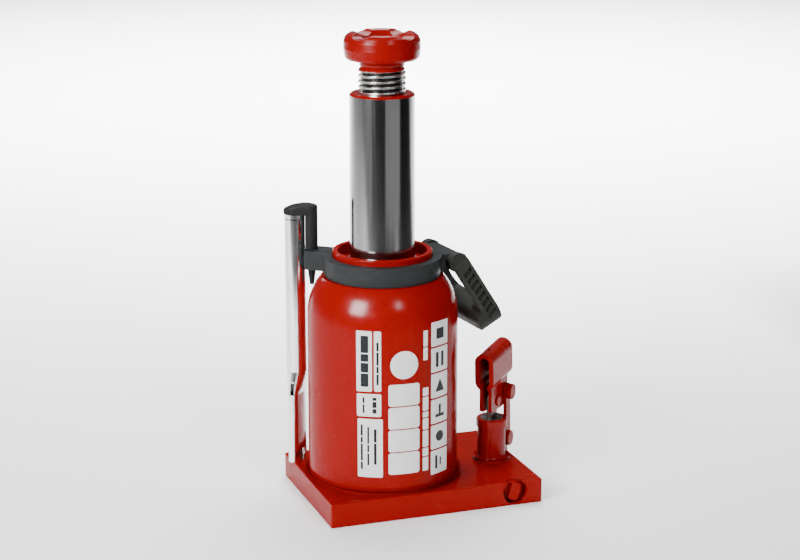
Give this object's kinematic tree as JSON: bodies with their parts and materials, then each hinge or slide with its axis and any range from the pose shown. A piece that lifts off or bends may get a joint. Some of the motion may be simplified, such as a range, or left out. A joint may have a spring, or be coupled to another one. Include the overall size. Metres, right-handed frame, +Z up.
{
  "type": "hydraulic bottle jack",
  "caption": "Upright hydraulic jack on a flat base: ram with a hand-turned extension screw and saddle, side lever pump, release valve, carrying handle and clipped-on pump handle.",
  "frame": {"origin": "on the ram's axis, at the underside of the base plate", "axes": "+Z up along the ram, +X along the base plate towards the pump, -Y is the front face with the release valve"},
  "size_m": [0.2146, 0.15, 0.438],
  "materials": {
    "red_base": "gloss enamel",
    "red_tank": "gloss enamel",
    "red_nut": "gloss enamel",
    "red_saddle": "gloss enamel on a casting",
    "red_pump": "gloss enamel",
    "red_lever": "gloss enamel on folded sheet",
    "red_pin": "gloss enamel, worn at the rims",
    "red_link": "gloss enamel",
    "red_valve": "gloss enamel, worn on the tang",
    "zinc_steel": "zinc plated",
    "bearing_steel": "polished",
    "spring_steel": "blackened",
    "honed_steel": "honed bore",
    "seal_rubber": "moulded",
    "black_rubber": "moulded",
    "seal_plastic": "turned",
    "ram_steel": "ground and dark finished, painted rim",
    "screw_steel": "rolled thread, bright",
    "plunger_steel": "ground",
    "grey_plastic": "satin moulded",
    "dark_plastic": "satin moulded",
    "cap_plastic": "satin moulded",
    "chrome_tube": "polished plate",
    "label_print": "printed film"
  },
  "bodies": {
    "jack_body": {"base_plate": "red_base", "passage_plugs": "zinc_steel", "suction_ball": "bearing_steel", "delivery_ball": "bearing_steel", "delivery_ball_clip": "spring_steel", "release_ball": "bearing_steel", "relief_ball": "bearing_steel", "relief_spring": "spring_steel", "relief_screw": "zinc_steel", "reservoir_tank": "red_tank", "filler_plug": "black_rubber", "cylinder_tube": "honed_steel", "cylinder_foot_seal": "seal_plastic", "tank_seal": "black_rubber", "top_nut": "red_nut", "rod_seal": "seal_rubber", "wiper_ring": "seal_rubber", "collar": "grey_plastic", "pump_cylinder": "red_pump", "pump_gland_nut": "red_pump", "pump_wiper": "seal_rubber", "anchor_pin": "red_pin", "anchor_pin_clip": "spring_steel", "rating_label": "label_print", "front_label": "label_print"},
    "ram": {"ram": "ram_steel", "piston_retaining_ring": "spring_steel", "piston_washer": "zinc_steel", "piston_cup": "seal_rubber", "piston_backup_ring": "seal_plastic"},
    "screw_carrier": {"screw_stop_ring": "spring_steel"},
    "screw_and_saddle": {"extension_screw": "screw_steel", "saddle": "red_saddle"},
    "carry_handle": {"carry_handle": "dark_plastic"},
    "pump_handle": {"handle_tube": "chrome_tube"},
    "handle_extension": {"handle_inner_tube": "zinc_steel", "handle_cap": "cap_plastic"},
    "plunger": {"pump_plunger": "plunger_steel", "plunger_seal": "seal_rubber"},
    "lever": {"lever_socket": "red_lever", "plunger_pin": "red_pin", "fulcrum_pin": "red_pin", "fulcrum_pin_clip": "spring_steel"},
    "links": {"link_bar_front": "red_link", "link_bar_back": "red_link"},
    "valve_carrier": {"valve_oring": "black_rubber"},
    "release_valve": {"release_valve": "red_valve"}
  },
  "joints": [
    {"name": "ram_slide", "type": "slide", "parent": "jack_body", "child": "ram", "axis": [0, 0, 1], "range_m": [-0.15, 0]},
    {"name": "screw_lift", "type": "slide", "parent": "ram", "child": "screw_carrier", "axis": [0, 0, 1], "range_m": [-0.0285, 0.051]},
    {"name": "screw_turn", "type": "hinge", "parent": "screw_carrier", "child": "screw_and_saddle", "pos_m": [0, 0, 0.4], "axis": [0, 0, 1], "range_deg": [-1980, 3600]},
    {"name": "carry_handle_swing", "type": "hinge", "parent": "jack_body", "child": "carry_handle", "pos_m": [0.06266, 0.00658, 0.2245], "axis": [0.1045, -0.9945, 0], "range_deg": [0, 120]},
    {"name": "pump_handle_lift", "type": "slide", "parent": "jack_body", "child": "pump_handle", "axis": [0, 0, 1], "range_m": [0, 0.06]},
    {"name": "handle_extend", "type": "slide", "parent": "pump_handle", "child": "handle_extension", "axis": [0, 0, 1], "range_m": [0, 0.115]},
    {"name": "plunger_stroke", "type": "slide", "parent": "jack_body", "child": "plunger", "axis": [0, 0, 1], "range_m": [0, 0.013]},
    {"name": "lever_swing", "type": "hinge", "parent": "plunger", "child": "lever", "pos_m": [0.108, -0.0065, 0.082], "axis": [-0.7314, 0.682, 0], "range_deg": [0, 38]},
    {"name": "link_swing", "type": "hinge", "parent": "jack_body", "child": "links", "pos_m": [0.12266, 0.00922, 0.038], "axis": [-0.7314, 0.682, 0], "range_deg": [-2.17, 2.17]},
    {"name": "valve_travel", "type": "slide", "parent": "jack_body", "child": "valve_carrier", "axis": [0, -1, 0], "range_m": [0, 0.0016]},
    {"name": "valve_turn", "type": "hinge", "parent": "valve_carrier", "child": "release_valve", "pos_m": [0.105, -0.06, 0.0128], "axis": [0, -1, 0], "range_deg": [0, 360]}
  ],
  "couplings": [
    {"joint": "screw_lift", "follows": "screw_turn", "m_per_rad": 0.00079577},
    {"joint": "plunger_stroke", "follows": "lever_swing", "m_per_rad": 0.018754},
    {"joint": "link_swing", "follows": "lever_swing", "ratio": -0.049215},
    {"joint": "valve_travel", "follows": "valve_turn", "m_per_rad": 0.00023873}
  ]
}
